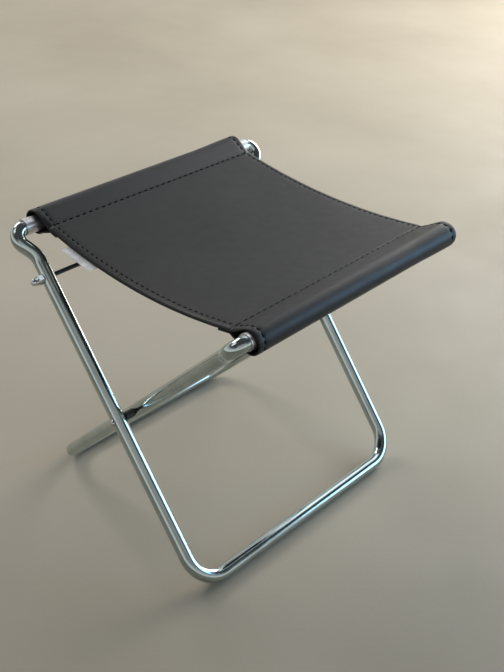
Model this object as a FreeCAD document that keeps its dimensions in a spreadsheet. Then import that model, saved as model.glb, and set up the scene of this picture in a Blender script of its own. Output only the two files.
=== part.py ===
import FreeCAD, Part
import os

import Sketcher

# Folding stool with two crossed tube frames, turning seat bars and a leather sling seat.
# Millimetres. X runs along the bars, the front is towards -Y, the floor is at Z = 0, and the
# pivot axis of the crossed legs lies over Y = 0.

# Driving sizes, each with one cell in the sheet.
DRIVING_SIZES = {
    # bent tube frames
    "tube_diameter": 20.0,
    "tube_wall": 1.5,
    "leg_angle": 48.2,
    "lower_leg_length": 254.0,
    "upper_leg_length": 284.0,
    "outer_leg_spacing": 422.0,
    "leg_side_gap": 15.0,
    "floor_bend_radius": 45.0,
    "neck_angle": 35.0,
    "neck_bend_radius": 30.0,
    "end_bend_radius": 14.0,
    "outer_neck_run": 13.0,
    "inner_neck_run": 25.0,
    # seat bars
    "seat_bar_clearance": 0.25,
    "seat_bar_wall": 1.0,
    "seat_bar_end_clearance": 0.4,
    "turned_end_insertion": 45.0,
    # leather sling
    "leather_thickness": 3.0,
    "hem_slack": 2.5,
    "hem_top_gap": 0.3,
    "seam_inset": 27.0,
    "seam_rise": 5.0,
    "seam_allowance": 3.0,
    "rear_bar_exposed": 20.0,
    "front_hem_slide": 14.0,
    "hem_relief_clearance": 2.0,
    "seat_sag": 16.5,
    "edge_turn_width": 12.0,
    "edge_turn_thickness": 2.4,
    # pivots
    "rivet_diameter": 6.0,
    "rivet_head_diameter": 9.0,
    "rivet_head_height": 3.2,
    "rivet_tail_diameter": 9.0,
    "rivet_tail_height": 2.0,
    "pivot_clearance": 0.05,
    "running_clearance": 0.3,
    "seating_clearance": 0.05,
    "spacer_diameter": 12.0,
    "rivet_washer_diameter": 13.0,
    "rivet_washer_thickness": 1.2,
    # tie rod and its nuts
    "tie_rod_drop": 72.0,
    "tie_rod_diameter": 6.0,
    "tie_rod_clearance": 0.1,
    "nut_across_flats": 12.5,
    "nut_hex_height": 7.0,
    "nut_height": 17.0,
    "nut_dome_diameter": 11.0,
    "nut_thread_depth": 11.0,
    # care label
    "label_length": 55.0,
    "label_width": 24.0,
    "label_thickness": 0.6,
    "label_overhang": 11.0,
    "label_seam_distance": 38.0,
    "label_clearance": 0.2,
}

# Sizes that follow from the driving ones, as formulas in the same sheet.
DERIVED_SIZES = {
    "tube_radius": "tube_diameter / 2",
    "pivot_height": "tube_radius + lower_leg_length * sin(leg_angle)",
    "bar_height": "pivot_height + upper_leg_length * sin(leg_angle)",
    "bar_reach": "upper_leg_length * cos(leg_angle)",
    "floor_reach": "lower_leg_length * cos(leg_angle)",
    "leg_length": "lower_leg_length + upper_leg_length",
    "outer_half_width": "outer_leg_spacing / 2",
    "inner_half_width": "outer_half_width - tube_diameter - leg_side_gap",
    "neck_bend_bulge": "(neck_bend_radius + end_bend_radius) * (1 - cos(neck_angle))",
    "outer_bar_half": "outer_half_width + neck_bend_bulge + outer_neck_run * sin(neck_angle) "
                      "- end_bend_radius",
    "inner_bar_half": "inner_half_width + neck_bend_bulge + inner_neck_run * sin(neck_angle) "
                      "- end_bend_radius",
    "seat_bar_bore": "tube_diameter + 2 * seat_bar_clearance",
    "seat_bar_diameter": "seat_bar_bore + 2 * seat_bar_wall",
    "outer_seat_bar_half": "outer_bar_half - seat_bar_end_clearance",
    "inner_seat_bar_half": "inner_bar_half - seat_bar_end_clearance",
    "outer_end_tip": "outer_seat_bar_half - turned_end_insertion",
    "inner_end_tip": "inner_seat_bar_half - turned_end_insertion",
    "neck_bend_rise": "neck_bend_radius * sin(neck_angle) "
                      "+ end_bend_radius * (1 + sin(neck_angle))",
    "outer_leg_straight": "leg_length - neck_bend_rise - outer_neck_run * cos(neck_angle)",
    "inner_leg_straight": "leg_length - neck_bend_rise - inner_neck_run * cos(neck_angle)",
    "hem_inner_radius": "seat_bar_diameter / 2 + hem_slack",
    "hem_outer_radius": "hem_inner_radius + leather_thickness",
    "hem_hang": "hem_slack - hem_top_gap",
    "hem_height": "bar_height - hem_hang",
    "hem_seam_rise": "seam_rise + hem_hang",
    "hem_half": "outer_bar_half - rear_bar_exposed",
    "inside_half": "hem_half - edge_turn_width",
    "seam_reach": "bar_reach - seam_inset",
    "seam_height": "bar_height + seam_rise",
    "sag_radius": "(seam_reach ^ 2 + seat_sag ^ 2) / (2 * seat_sag)",
    "sag_center_height": "seam_height - seat_sag + sag_radius",
    "under_radius": "sag_radius + leather_thickness",
    "turned_radius": "under_radius + edge_turn_thickness",
    "label_reach": "seam_reach - label_seam_distance - label_length / 2",
    "label_angle": "asin(label_reach / turned_radius)",
    "label_radius": "turned_radius + label_clearance + label_thickness",
    "label_edge": "front_hem_slide * (seam_reach - label_reach) / (2 * seam_reach) - hem_half",
    "hem_relief_half": "tube_radius + hem_relief_clearance",
    "hem_relief_start": "inner_bar_half - hem_relief_clearance - front_hem_slide",
    "rivet_dome_radius": "((rivet_head_diameter / 2) ^ 2 + rivet_head_height ^ 2) "
                         "/ (2 * rivet_head_height)",
    "rivet_grip": "2 * tube_diameter + leg_side_gap + running_clearance "
                  "+ rivet_washer_thickness + seating_clearance",
    "pivot_hole_diameter": "rivet_diameter + 2 * pivot_clearance",
    "spacer_length": "leg_side_gap - running_clearance - seating_clearance",
    "tie_hole_diameter": "tie_rod_diameter + 2 * tie_rod_clearance",
    "tie_rod_distance": "leg_length - tie_rod_drop",
    "tie_rod_reach": "tie_rod_distance * cos(leg_angle) - floor_reach",
    "tie_rod_height": "tube_radius + tie_rod_distance * sin(leg_angle)",
    "nut_seat": "outer_half_width + tube_radius + seating_clearance",
    "tie_rod_length": "2 * (nut_seat + nut_thread_depth - seating_clearance)",
    "nut_bore_diameter": "tie_rod_diameter + 2 * seating_clearance",
}

SIDES = {"left": -1, "right": 1}
X_AXIS = FreeCAD.Vector(1, 0, 0)
Y_AXIS = FreeCAD.Vector(0, 1, 0)
Z_AXIS = FreeCAD.Vector(0, 0, 1)
ORIGIN = FreeCAD.Vector(0, 0, 0)
V_AXIS_INDEX = -2
H_AXIS_INDEX = -1
START, END, CENTER = 1, 2, 3

doc = FreeCAD.newDocument("folding_stool")
sheet = doc.addObject("Spreadsheet::Sheet", "Sizes")
for row, (name, number) in enumerate(DRIVING_SIZES.items(), start=1):
    sheet.set("A%d" % row, name)
    sheet.set("B%d" % row, str(number))
    sheet.setAlias("B%d" % row, name)
for row, (name, formula) in enumerate(DERIVED_SIZES.items(), start=1):
    sheet.set("C%d" % row, name)
    sheet.set("D%d" % row, "=" + formula)
    sheet.setAlias("D%d" % row, name)
doc.recompute()


def size(name):
    """The number that a cell of the sheet holds."""
    return float(sheet.get(name))


def origin_plane(body, role):
    """One of a body's own origin planes."""
    return next(item for item in body.Origin.OriginFeatures if item.Role == role)


def body_sketch(body, name, role):
    """An empty sketch on one of the body's origin planes."""
    sketch = body.newObject("Sketcher::SketchObject", name)
    sketch.AttachmentSupport = [(origin_plane(body, role), "")]
    sketch.MapMode = "FlatFace"
    return sketch


def dimension(sketch, kind, elements, formula, number):
    """Adds a sketch dimension that follows a formula of the sheet's sizes."""
    index = sketch.addConstraint(Sketcher.Constraint(kind, *elements, number))
    sketch.setExpression("Constraints[%d]" % index, formula)


def driven(sketch, kind, elements, name):
    """Adds a sketch dimension that follows one cell."""
    dimension(sketch, kind, elements, "Sizes." + name, size(name))


def relate(sketch, kind, *elements):
    """Adds a constraint without a size."""
    sketch.addConstraint(Sketcher.Constraint(kind, *elements))


def line(sketch, start, end):
    """Adds a straight line and returns its index."""
    return sketch.addGeometry(Part.LineSegment(FreeCAD.Vector(*start, 0), FreeCAD.Vector(*end, 0)))


def arc(sketch, center, radius, start, end):
    """Adds an arc that runs anticlockwise from the start point to the end point."""
    circle = Part.Circle(FreeCAD.Vector(*center, 0), Z_AXIS, radius)
    angles = [circle.parameter(FreeCAD.Vector(*point, 0)) for point in (start, end)]
    return sketch.addGeometry(Part.ArcOfCircle(circle, *angles))


def circle_at_origin(sketch, diameter_name):
    """Adds a circle about the sketch's origin."""
    index = sketch.addGeometry(Part.Circle(ORIGIN, Z_AXIS, size(diameter_name) / 2))
    relate(sketch, "Coincident", index, CENTER, H_AXIS_INDEX, START)
    driven(sketch, "Diameter", (index,), diameter_name)


def place(item, x="0", y="0", z="0"):
    """Ties an object's position to formulas."""
    for axis, formula in zip("xyz", (x, y, z)):
        item.setExpression("Placement.Base." + axis, formula + " * 1 mm")


def turn(item, axis, angle):
    """Turns an object about an axis through its own origin."""
    item.Placement = FreeCAD.Placement(ORIGIN, FreeCAD.Rotation(axis, angle))


def symmetric_pad(body, sketch, name, length_formula):
    """Pads a sketch by half the length to each side."""
    pad = body.newObject("PartDesign::Pad", name)
    pad.Profile = sketch
    pad.SideType = "Symmetric"
    pad.setExpression("Length", length_formula + " * 1 mm")
    return pad


def through_cut(body, sketch, name):
    """Cuts a sketch through everything on both of its sides."""
    pocket = body.newObject("PartDesign::Pocket", name)
    pocket.Profile = sketch
    pocket.SideType = "Symmetric"
    pocket.Type = "ThroughAll"
    return pocket


def frame_path(sketch, prefix):
    """Half of a frame's centre line: floor bar, leg, gooseneck and turned-in end, from X = 0."""
    neck = FreeCAD.Rotation(Z_AXIS, size("neck_angle"))
    half_width = size(prefix + "_half_width")
    bar_half = size(prefix + "_bar_half")
    floor_radius = size("floor_bend_radius")
    neck_radius = size("neck_bend_radius")
    end_radius = size("end_bend_radius")
    leg_top = size(prefix + "_leg_straight")
    top = size("leg_length")
    floor_end = (half_width - floor_radius, 0)
    leg_start = (half_width, floor_radius)
    leg_end = (half_width, leg_top)
    neck_center = (half_width + neck_radius, leg_top)
    neck_spoke = neck.inverted().multVec(FreeCAD.Vector(-neck_radius, 0, 0))
    neck_end = (neck_center[0] + neck_spoke.x, leg_top + neck_spoke.y)
    end_center = (bar_half, top - end_radius)
    end_spoke = neck.inverted().multVec(FreeCAD.Vector(end_radius, 0, 0))
    run_end = (end_center[0] + end_spoke.x, end_center[1] + end_spoke.y)

    floor = line(sketch, (0, 0), floor_end)
    corner = arc(sketch, (floor_end[0], floor_radius), floor_radius, floor_end, leg_start)
    leg = line(sketch, leg_start, leg_end)
    kink = arc(sketch, neck_center, neck_radius, neck_end, leg_end)
    run = line(sketch, neck_end, run_end)
    bend = arc(sketch, end_center, end_radius, run_end, (bar_half, top))
    tip = line(sketch, (bar_half, top), (size(prefix + "_end_tip"), top))

    relate(sketch, "Coincident", floor, START, H_AXIS_INDEX, START)
    relate(sketch, "Tangent", floor, END, corner, START)
    relate(sketch, "Tangent", corner, END, leg, START)
    relate(sketch, "Tangent", leg, END, kink, END)
    relate(sketch, "Tangent", kink, START, run, START)
    relate(sketch, "Tangent", run, END, bend, START)
    relate(sketch, "Tangent", bend, END, tip, START)
    relate(sketch, "Horizontal", floor)
    relate(sketch, "Vertical", leg)
    relate(sketch, "Horizontal", tip)
    driven(sketch, "Radius", (corner,), "floor_bend_radius")
    driven(sketch, "Radius", (kink,), "neck_bend_radius")
    driven(sketch, "Radius", (bend,), "end_bend_radius")
    driven(sketch, "DistanceX", (leg, END), prefix + "_half_width")
    driven(sketch, "DistanceY", (leg, END), prefix + "_leg_straight")
    driven(sketch, "DistanceX", (tip, START), prefix + "_bar_half")
    driven(sketch, "DistanceY", (tip, START), "leg_length")
    driven(sketch, "DistanceX", (tip, END), prefix + "_end_tip")


def cross_hole(body, name, diameter_name, distance_name):
    """A hole along X through both legs, at a distance up the leg from the floor bar's axis."""
    sketch = body_sketch(body, name + "_sketch", "YZ_Plane")
    distance = size(distance_name)
    circle = Part.Circle(FreeCAD.Vector(distance, 0, 0), Z_AXIS, size(diameter_name) / 2)
    index = sketch.addGeometry(circle)
    relate(sketch, "PointOnObject", index, CENTER, H_AXIS_INDEX)
    driven(sketch, "DistanceX", (index, CENTER), distance_name)
    driven(sketch, "Diameter", (index,), diameter_name)
    return through_cut(body, sketch, name)


def tube_frame(prefix, holes, front_floor_bar):
    """One bent tube: a half swept along its path, mirrored, with its cross holes."""
    body = doc.addObject("PartDesign::Body", prefix + "_frame")
    path = body_sketch(body, prefix + "_path", "XY_Plane")
    frame_path(path, prefix)
    section = body_sketch(body, prefix + "_section", "YZ_Plane")
    circle_at_origin(section, "tube_diameter")
    bore = section.addGeometry(Part.Circle(ORIGIN, Z_AXIS, size("tube_radius") - size("tube_wall")))
    relate(section, "Coincident", bore, CENTER, H_AXIS_INDEX, START)
    dimension(section, "Diameter", (bore,), "Sizes.tube_diameter - 2 * Sizes.tube_wall",
              size("tube_diameter") - 2 * size("tube_wall"))
    doc.recompute()
    pipe = body.newObject("PartDesign::AdditivePipe", prefix + "_half")
    pipe.Profile = section
    pipe.Spine = (path, ["Edge%d" % (count + 1) for count in range(len(path.Shape.Edges))])
    mirrored = body.newObject("PartDesign::Mirrored", prefix + "_whole")
    mirrored.Originals = [pipe]
    mirrored.MirrorPlane = (origin_plane(body, "YZ_Plane"), [""])
    body.Tip = mirrored
    doc.recompute()
    for name, diameter_name, distance_name in holes:
        body.Tip = cross_hole(body, prefix + "_" + name, diameter_name, distance_name)
        doc.recompute()
    turn(body, X_AXIS, 0)
    side = "-" if front_floor_bar else ""
    place(body, y=side + "Sizes.floor_reach", z="Sizes.tube_radius")
    angle = "Sizes.leg_angle * 1 deg" if front_floor_bar else "180 deg - Sizes.leg_angle * 1 deg"
    body.setExpression("Placement.Rotation.Angle", angle)
    return body


def seat_bar(name, prefix, reach_formula):
    """A tube that turns on a frame's turned-in ends and reaches from bend to bend."""
    body = doc.addObject("PartDesign::Body", name)
    section = body_sketch(body, name + "_section", "YZ_Plane")
    circle_at_origin(section, "seat_bar_diameter")
    circle_at_origin(section, "seat_bar_bore")
    symmetric_pad(body, section, name + "_tube", "2 * Sizes.%s_seat_bar_half" % prefix)
    place(body, y=reach_formula, z="Sizes.bar_height")
    return body


def tangent_point(point, radius, side):
    """Where a line from a point touches a circle about the origin, above (1) or below (-1)."""
    spoke = FreeCAD.Vector(*point, 0)
    opening = FreeCAD.Rotation(Z_AXIS, side * 90).multVec(spoke)
    along = radius ** 2 / spoke.Length ** 2
    across = radius * (spoke.Length ** 2 - radius ** 2) ** 0.5 / spoke.Length ** 2
    touch = spoke * along + opening * across
    return touch.x, touch.y


def hem_section(sketch):
    """A loose tunnel that hangs on the bar and whose two layers come together at the seam."""
    outer_radius = size("hem_outer_radius")
    inner_radius = size("hem_inner_radius")
    seam_top = (size("seam_inset"), size("hem_seam_rise"))
    seam_bottom = (seam_top[0], seam_top[1] - 2 * size("leather_thickness"))
    apex = (seam_top[0] - size("seam_allowance"), seam_top[1] - size("leather_thickness"))
    outer_touches = [tangent_point(seam_top, outer_radius, 1),
                     tangent_point(seam_bottom, outer_radius, -1)]
    inner_touches = [tangent_point(apex, inner_radius, 1), tangent_point(apex, inner_radius, -1)]

    outer_arc = arc(sketch, (0, 0), outer_radius, *outer_touches)
    top = line(sketch, outer_touches[0], seam_top)
    bottom = line(sketch, outer_touches[1], seam_bottom)
    end = line(sketch, seam_top, seam_bottom)
    inner_arc = arc(sketch, (0, 0), inner_radius, *inner_touches)
    inner_top = line(sketch, inner_touches[0], apex)
    inner_bottom = line(sketch, inner_touches[1], apex)

    for round_part, upper, lower in ((outer_arc, top, bottom), (inner_arc, inner_top, inner_bottom)):
        relate(sketch, "Coincident", round_part, CENTER, H_AXIS_INDEX, START)
        relate(sketch, "Tangent", round_part, START, upper, START)
        relate(sketch, "Tangent", round_part, END, lower, START)
    relate(sketch, "Coincident", top, END, end, START)
    relate(sketch, "Coincident", bottom, END, end, END)
    relate(sketch, "Coincident", inner_top, END, inner_bottom, END)
    relate(sketch, "Vertical", end)
    driven(sketch, "Radius", (outer_arc,), "hem_outer_radius")
    driven(sketch, "Radius", (inner_arc,), "hem_inner_radius")
    driven(sketch, "DistanceX", (top, END), "seam_inset")
    driven(sketch, "DistanceY", (top, END), "hem_seam_rise")
    dimension(sketch, "DistanceY", (end, END, end, START), "2 * Sizes.leather_thickness",
              2 * size("leather_thickness"))
    dimension(sketch, "DistanceX", (inner_top, END),
              "Sizes.seam_inset - Sizes.seam_allowance", apex[0])
    dimension(sketch, "DistanceY", (inner_top, END),
              "Sizes.hem_seam_rise - Sizes.leather_thickness", apex[1])


def hem(name):
    """A hem, padded along its tunnel, in a frame whose Y axis points from there to the seam."""
    body = doc.addObject("PartDesign::Body", name)
    section = body_sketch(body, name + "_section", "YZ_Plane")
    hem_section(section)
    symmetric_pad(body, section, name + "_tunnel", "2 * Sizes.hem_half")
    return body


def relief(body):
    """Cuts the hem's lower wall back at its right end, where the leg's neck comes down through it."""
    sketch = body_sketch(body, body.Name + "_relief_sketch", "YZ_Plane")
    sketch.setExpression("AttachmentOffset.Base.y", "Sizes.hem_hang * 1 mm")
    sketch.setExpression("AttachmentOffset.Base.z", "Sizes.hem_relief_start * 1 mm")
    down_leg = FreeCAD.Rotation(Z_AXIS, -size("leg_angle"))
    half, length = size("hem_relief_half"), 2 * size("seam_inset")
    corners = [down_leg.multVec(FreeCAD.Vector(x, y, 0))
               for x, y in ((0, half), (0, -half), (length, -half), (length, half))]
    edges = [line(sketch, (corners[count].x, corners[count].y),
                  (corners[(count + 1) % 4].x, corners[(count + 1) % 4].y)) for count in range(4)]
    for count in range(4):
        relate(sketch, "Coincident", edges[count], END, edges[(count + 1) % 4], START)
    relate(sketch, "Symmetric", edges[0], START, edges[0], END, H_AXIS_INDEX, START)
    for count in range(3):
        relate(sketch, "Perpendicular", edges[count], edges[count + 1])
    dimension(sketch, "DistanceX", (edges[0], START),
              "Sizes.hem_relief_half * sin(Sizes.leg_angle)", corners[0].x)
    dimension(sketch, "DistanceY", (edges[0], START),
              "Sizes.hem_relief_half * cos(Sizes.leg_angle)", corners[0].y)
    dimension(sketch, "Distance", (edges[1],), "2 * Sizes.seam_inset", length)
    pocket = body.newObject("PartDesign::Pocket", body.Name + "_relief")
    pocket.Profile = sketch
    pocket.Type = "ThroughAll"
    pocket.Reversed = True
    return pocket


def free_sketch(name, rotation):
    """A sketch that stands by itself, turned about the model's origin."""
    sketch = doc.addObject("Sketcher::SketchObject", name)
    sketch.Placement = FreeCAD.Placement(ORIGIN, rotation)
    return sketch


def prism(sketch, name, length_formula, symmetric):
    """A solid made by extruding a free sketch along its normal."""
    item = doc.addObject("Part::Extrusion", name)
    item.Base = sketch
    item.DirMode = "Normal"
    item.Solid = True
    item.Symmetric = symmetric
    item.setExpression("LengthFwd", length_formula + " * 1 mm")
    return item


def sag_band(name, rotation, upper_name, lower_name):
    """A band between two round sag lines about one centre, from the seat's middle to the seam."""
    sketch = free_sketch(name + "_sketch", rotation)
    center = (0, size("sag_center_height"))
    reach = size("seam_reach")
    radii = [size(upper_name), size(lower_name)]
    ends = [(reach, center[1] - (radius ** 2 - reach ** 2) ** 0.5) for radius in radii]
    starts = [(0, center[1] - radius) for radius in radii]
    arcs = [arc(sketch, center, radius, start, end) for radius, start, end in zip(radii, starts, ends)]
    middle = line(sketch, starts[0], starts[1])
    seam = line(sketch, ends[0], ends[1])
    for curve, cell in zip(arcs, (upper_name, lower_name)):
        relate(sketch, "PointOnObject", curve, CENTER, V_AXIS_INDEX)
        driven(sketch, "DistanceY", (curve, CENTER), "sag_center_height")
        driven(sketch, "Radius", (curve,), cell)
    for curve, point in zip(arcs, (START, END)):
        relate(sketch, "Coincident", curve, START, middle, point)
        relate(sketch, "Coincident", curve, END, seam, point)
    relate(sketch, "PointOnObject", middle, START, V_AXIS_INDEX)
    relate(sketch, "Vertical", middle)
    relate(sketch, "Vertical", seam)
    driven(sketch, "DistanceX", (seam, START), "seam_reach")
    return prism(sketch, name, "4 * Sizes.hem_half", True)


def plan_block(name, end_reach, end_slide, half_name):
    """An upright block over half of the seat's plan, whose sides run from the middle to one hem."""
    sketch = free_sketch(name + "_sketch", FreeCAD.Rotation())
    half, reach, slide = size(half_name), size("seam_reach"), size("front_hem_slide")
    points = []
    formulas = []
    for side, at_hem in ((-1, 0), (1, 0), (1, 1), (-1, 1)):
        share = end_slide if at_hem else 0.5
        points.append((side * half + share * slide, at_hem * end_reach * reach))
        formulas.append("%d * Sizes.%s + %s * Sizes.front_hem_slide" % (side, half_name, share))
    edges = [line(sketch, points[count], points[(count + 1) % 4]) for count in range(4)]
    for count in range(4):
        relate(sketch, "Coincident", edges[count], END, edges[(count + 1) % 4], START)
        dimension(sketch, "DistanceX", (edges[count], START), formulas[count], points[count][0])
    for count in (0, 1):
        relate(sketch, "PointOnObject", edges[count], START, H_AXIS_INDEX)
    for count in (2, 3):
        dimension(sketch, "DistanceY", (edges[count], START), "%d * Sizes.seam_reach" % end_reach,
                  points[count][1])
    return prism(sketch, name, "2 * Sizes.bar_height", False)


def boolean(kind, name, base, tool):
    """A boolean of two objects."""
    item = doc.addObject("Part::" + kind, name)
    item.Base = base
    item.Tool = tool
    return item


def seat_half(name, end_reach, end_slide):
    """Half of the sagging seat panel, thicker where its side edges are turned under."""
    along = FreeCAD.Rotation(FreeCAD.Vector(1, 1, 1), 120)
    facing = FreeCAD.Rotation(Z_AXIS, 0 if end_reach > 0 else 180).multiply(along)
    full = sag_band(name + "_full_band", facing, "sag_radius", "turned_radius")
    lower = sag_band(name + "_lower_band", facing, "under_radius", "turned_radius")
    outline = plan_block(name + "_outline", end_reach, end_slide, "hem_half")
    inside = plan_block(name + "_inside", end_reach, end_slide, "inside_half")
    sheet_part = boolean("Common", name + "_sheet", full, outline)
    hollow = boolean("Common", name + "_hollow", lower, inside)
    return boolean("Cut", name, sheet_part, hollow)


def revolve(body, sketch, name):
    """Revolves a sketch about its own X axis."""
    item = body.newObject("PartDesign::Revolution", name)
    item.Profile = sketch
    item.ReferenceAxis = (sketch, ["H_Axis"])
    item.Angle = 360
    return item


def rivet(name, side):
    """A rivet with a domed head outside the outer leg and a formed tail inside the inner leg."""
    body = doc.addObject("PartDesign::Body", name)
    sketch = body_sketch(body, name + "_profile", "XY_Plane")
    head = size("rivet_head_height")
    head_radius = size("rivet_head_diameter") / 2
    shank = size("rivet_diameter") / 2
    grip = size("rivet_grip")
    tail_radius = size("rivet_tail_diameter") / 2
    tail_end = grip + size("rivet_tail_height")
    dome_radius = size("rivet_dome_radius")
    corners = [(0, head_radius), (0, shank), (-grip, shank), (-grip, tail_radius),
               (-tail_end, tail_radius), (-tail_end, 0), (head, 0)]
    edges = [line(sketch, corners[count], corners[count + 1]) for count in range(6)]
    dome = arc(sketch, (head - dome_radius, 0), dome_radius, corners[6], corners[0])
    for count in range(5):
        relate(sketch, "Coincident", edges[count], END, edges[count + 1], START)
        relate(sketch, ("Vertical", "Horizontal")[count % 2], edges[count])
    relate(sketch, "Coincident", edges[5], END, dome, START)
    relate(sketch, "Coincident", dome, END, edges[0], START)
    relate(sketch, "PointOnObject", edges[0], START, V_AXIS_INDEX)
    relate(sketch, "PointOnObject", edges[5], START, H_AXIS_INDEX)
    relate(sketch, "PointOnObject", edges[5], END, H_AXIS_INDEX)
    relate(sketch, "PointOnObject", dome, CENTER, H_AXIS_INDEX)
    dimension(sketch, "DistanceY", (edges[0], START), "Sizes.rivet_head_diameter / 2", head_radius)
    dimension(sketch, "DistanceY", (edges[1], START), "Sizes.rivet_diameter / 2", shank)
    dimension(sketch, "DistanceX", (edges[1], END, edges[1], START), "Sizes.rivet_grip", grip)
    dimension(sketch, "DistanceY", (edges[3], START), "Sizes.rivet_tail_diameter / 2", tail_radius)
    dimension(sketch, "DistanceX", (edges[3], END, edges[3], START), "Sizes.rivet_tail_height",
              size("rivet_tail_height"))
    dimension(sketch, "DistanceX", (edges[5], END), "Sizes.rivet_head_height", head)
    revolve(body, sketch, name + "_turned")
    turn(body, Z_AXIS, 0 if side > 0 else 180)
    place(body, x="%d * (Sizes.outer_half_width + Sizes.tube_radius + Sizes.seating_clearance)" % side,
          z="Sizes.pivot_height")
    return body


def ring(name, outer_name, bore_name, length_name, center_formula, side):
    """A plain ring on the pivot axis."""
    body = doc.addObject("PartDesign::Body", name)
    section = body_sketch(body, name + "_section", "YZ_Plane")
    circle_at_origin(section, outer_name)
    circle_at_origin(section, bore_name)
    symmetric_pad(body, section, name + "_ring", "Sizes." + length_name)
    place(body, x="%d * (%s)" % (side, center_formula), z="Sizes.pivot_height")
    return body


def tie_rod():
    """The rod between the outer legs, below the rear seat bar."""
    rod = doc.addObject("Part::Cylinder", "tie_rod")
    rod.setExpression("Radius", "Sizes.tie_rod_diameter / 2 * 1 mm")
    rod.setExpression("Height", "Sizes.tie_rod_length * 1 mm")
    turn(rod, Y_AXIS, 90)
    place(rod, x="-0.5 * Sizes.tie_rod_length", y="Sizes.tie_rod_reach", z="Sizes.tie_rod_height")
    return rod


def cap_nut(name, side):
    """A hexagon nut with a domed cap and a blind bore."""
    hexagon = doc.addObject("Part::Prism", name + "_hexagon")
    hexagon.Polygon = 6
    hexagon.setExpression("Circumradius", "Sizes.nut_across_flats / 2 / cos(30) * 1 mm")
    hexagon.setExpression("Height", "Sizes.nut_hex_height * 1 mm")
    neck = doc.addObject("Part::Cylinder", name + "_neck")
    neck.setExpression("Radius", "Sizes.nut_dome_diameter / 2 * 1 mm")
    neck.setExpression("Height", "(Sizes.nut_height - Sizes.nut_dome_diameter / 2) * 1 mm")
    dome = doc.addObject("Part::Sphere", name + "_dome")
    dome.Angle1 = 0
    dome.setExpression("Radius", "Sizes.nut_dome_diameter / 2 * 1 mm")
    place(dome, z="(Sizes.nut_height - Sizes.nut_dome_diameter / 2)")
    bore = doc.addObject("Part::Cylinder", name + "_bore")
    bore.setExpression("Radius", "Sizes.nut_bore_diameter / 2 * 1 mm")
    bore.setExpression("Height", "Sizes.nut_thread_depth * 1 mm")
    shell = boolean("Fuse", name + "_shell", boolean("Fuse", name + "_barrel", hexagon, neck), dome)
    nut = boolean("Cut", name, shell, bore)
    turn(nut, Y_AXIS, 90 * side)
    place(nut, x="%d * Sizes.nut_seat" % side, y="Sizes.tie_rod_reach", z="Sizes.tie_rod_height")
    return nut


def care_label():
    """A blank label held under the seat's left edge, near the rear hem, that sticks out sideways."""
    label = doc.addObject("Part::Box", "care_label")
    label.setExpression("Length", "Sizes.label_width * 1 mm")
    label.setExpression("Width", "Sizes.label_length * 1 mm")
    label.setExpression("Height", "Sizes.label_thickness * 1 mm")
    turn(label, X_AXIS, size("label_angle"))
    label.setExpression("Placement.Rotation.Angle", "Sizes.label_angle")
    place(label, x="(Sizes.label_edge - Sizes.label_overhang)",
          y="(Sizes.label_radius * sin(Sizes.label_angle)"
            " - Sizes.label_length / 2 * cos(Sizes.label_angle))",
          z="(Sizes.sag_center_height - Sizes.label_radius * cos(Sizes.label_angle)"
            " - Sizes.label_length / 2 * sin(Sizes.label_angle))")
    return label


pivot_hole = ("pivot_hole", "pivot_hole_diameter", "lower_leg_length")
tie_hole = ("tie_hole", "tie_hole_diameter", "tie_rod_distance")
nodes = [
    tube_frame("outer", [pivot_hole, tie_hole], True),
    tube_frame("inner", [pivot_hole], False),
    seat_bar("rear_seat_bar", "outer", "Sizes.bar_reach"),
    seat_bar("front_seat_bar", "inner", "-Sizes.bar_reach"),
]

rear_hem = hem("rear_hem")
turn(rear_hem, Z_AXIS, 180)
place(rear_hem, y="Sizes.bar_reach", z="Sizes.hem_height")
front_hem = hem("front_hem")
relief(front_hem)
place(front_hem, x="Sizes.front_hem_slide", y="-Sizes.bar_reach", z="Sizes.hem_height")
nodes += [rear_hem, front_hem]
nodes += [seat_half("rear_seat_panel", 1, 0), seat_half("front_seat_panel", -1, 1), care_label()]

for side_name, side in SIDES.items():
    nodes.append(rivet(side_name + "_pivot_rivet", side))
    nodes.append(ring(
        side_name + "_pivot_spacer", "spacer_diameter", "pivot_hole_diameter", "spacer_length",
        "Sizes.outer_half_width - Sizes.tube_radius - Sizes.seating_clearance"
        " - Sizes.spacer_length / 2", side))
    nodes.append(ring(
        side_name + "_rivet_washer", "rivet_washer_diameter", "pivot_hole_diameter",
        "rivet_washer_thickness",
        "Sizes.inner_half_width - Sizes.tube_radius - Sizes.running_clearance"
        " - Sizes.rivet_washer_thickness / 2", side))
    nodes.append(cap_nut(side_name + "_cap_nut", side))
nodes.append(tie_rod())

doc.recompute()
for item in doc.Objects:
    if "Invalid" in item.State or "Error" in item.State:
        raise RuntimeError("%s did not compute: %s" % (item.Label, item.State))
for node in nodes:
    if node.Shape.isNull() or not node.Shape.isValid() or len(node.Shape.Solids) != 1:
        raise RuntimeError("%s is not one valid solid" % node.Label)

os.makedirs("parts", exist_ok=True)
for node in nodes:
    node.Shape.exportStep(os.path.join("parts", node.Label + ".step"))
    box = node.Shape.BoundBox
    print("%-20s %10.1f mm3  x %.1f..%.1f  y %.1f..%.1f  z %.1f..%.1f" % (
        node.Label, node.Shape.Volume, box.XMin, box.XMax, box.YMin, box.YMax, box.ZMin, box.ZMax))
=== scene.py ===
"""Folding stool: two crossed tube frames, turning seat bars and a black leather sling."""

import logging
import math
from dataclasses import dataclass, field
from enum import Enum

import bmesh
import bpy
from mathutils import Matrix, Vector, noise

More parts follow.
